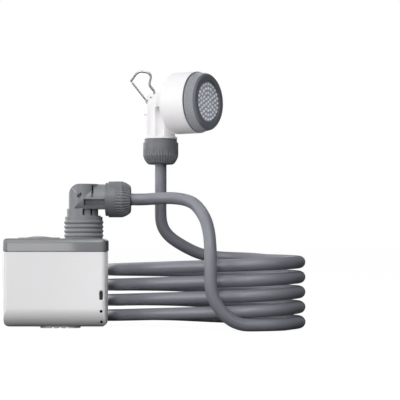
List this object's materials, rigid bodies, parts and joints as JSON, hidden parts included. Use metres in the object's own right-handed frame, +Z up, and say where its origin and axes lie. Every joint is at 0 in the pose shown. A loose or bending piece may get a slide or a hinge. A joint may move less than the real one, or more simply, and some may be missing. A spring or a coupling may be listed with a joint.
{
  "type": "camp shower pump",
  "caption": "Rechargeable submersible pump in a rounded housing, with a threaded elbow, a coiled hose and a shower head with a snap hook.",
  "frame": {"origin": "on the floor under the middle of the pump housing", "axes": "+Z up, +X along the pump towards the hose, -Y out of the pump's front"},
  "size_m": [0.2975, 0.1941, 0.2614],
  "materials": {
    "white_plastic": "satin moulded",
    "cap_plastic": "satin moulded",
    "button_rubber": "soft touch",
    "fitting_plastic": "moulded",
    "nut_plastic": "ribbed, moulded",
    "bezel_plastic": "knurled",
    "nozzle_plastic": "moulded",
    "hose_vinyl": "smooth satin",
    "dark_plastic": "moulded",
    "black_rubber": "matt",
    "lens_plastic": "gloss",
    "board_laminate": "solder mask",
    "cell_wrap": "shrink wrap",
    "motor_can": "plated",
    "screw_steel": "plain",
    "port_steel": "stamped",
    "hook_steel": "polished"
  },
  "bodies": {
    "root": {"lower_housing": "white_plastic", "top_cap": "cap_plastic", "cap_seal": "black_rubber", "tact_switch": "dark_plastic", "circuit_board": "board_laminate", "board_screws": "screw_steel", "battery_cells": "cell_wrap", "battery_cradle": "dark_plastic", "pump_motor": "motor_can", "pump_volute": "fitting_plastic", "shaft_seal": "black_rubber", "inlet_strainer": "fitting_plastic", "strainer_screws": "screw_steel", "outlet_riser": "white_plastic", "charge_port": "port_steel", "indicator_lens": "lens_plastic", "vent_plug": "black_rubber", "elbow_fitting": "fitting_plastic", "outlet_seal": "black_rubber", "elbow_grip_ring": "white_plastic", "hose_pump_end": "hose_vinyl", "hose_coil": "hose_vinyl", "hose_head_end": "hose_vinyl", "head_grip_ring": "white_plastic", "head_body": "white_plastic", "face_gasket": "black_rubber", "nozzle_plate": "nozzle_plastic", "hook_pin": "hook_steel"},
    "button": {"power_button": "button_rubber"},
    "rotor": {"motor_shaft": "screw_steel", "impeller": "white_plastic"},
    "elbow_nut_body": {"elbow_nut": "nut_plastic"},
    "head_nut_body": {"head_nut": "nut_plastic"},
    "bezel": {"bezel_ring": "bezel_plastic"},
    "hook": {"hook_frame": "hook_steel", "gate_rivet": "hook_steel"},
    "gate": {"hook_gate": "hook_steel"}
  },
  "joints": [
    {"name": "button_press", "type": "slide", "parent": "root", "child": "button", "axis": [0, 0, -1], "range_m": [0, 0.0012], "stiffness_N_per_m": 2500, "springref_m": -0.0004},
    {"name": "rotor_spin", "type": "hinge", "parent": "root", "child": "rotor", "pos_m": [0.004, 0, 0.014], "axis": [0, 0, 1], "continuous": true},
    {"name": "elbow_nut_turn", "type": "hinge", "parent": "root", "child": "elbow_nut_body", "pos_m": [0.06, 0, 0.128], "axis": [1, 0, 0], "continuous": true},
    {"name": "head_nut_turn", "type": "hinge", "parent": "root", "child": "head_nut_body", "pos_m": [0.103, 0.03, 0.18], "axis": [0, 0, -1], "continuous": true},
    {"name": "bezel_turn", "type": "hinge", "parent": "root", "child": "bezel", "pos_m": [0.103, 0.03, 0.226], "axis": [0.848, -0.5299, 0], "range_deg": [0, 120]},
    {"name": "hook_swing", "type": "hinge", "parent": "root", "child": "hook", "pos_m": [0.0932, 0.03, 0.2327], "axis": [0, -1, 0], "range_deg": [-5, 45]},
    {"name": "gate_open", "type": "hinge", "parent": "hook", "child": "gate", "pos_m": [0.0893, 0.03, 0.229], "axis": [0, 1, 0], "range_deg": [0, 25], "stiffness_Nm_per_rad": 0.02, "springref_deg": -8.59}
  ]
}
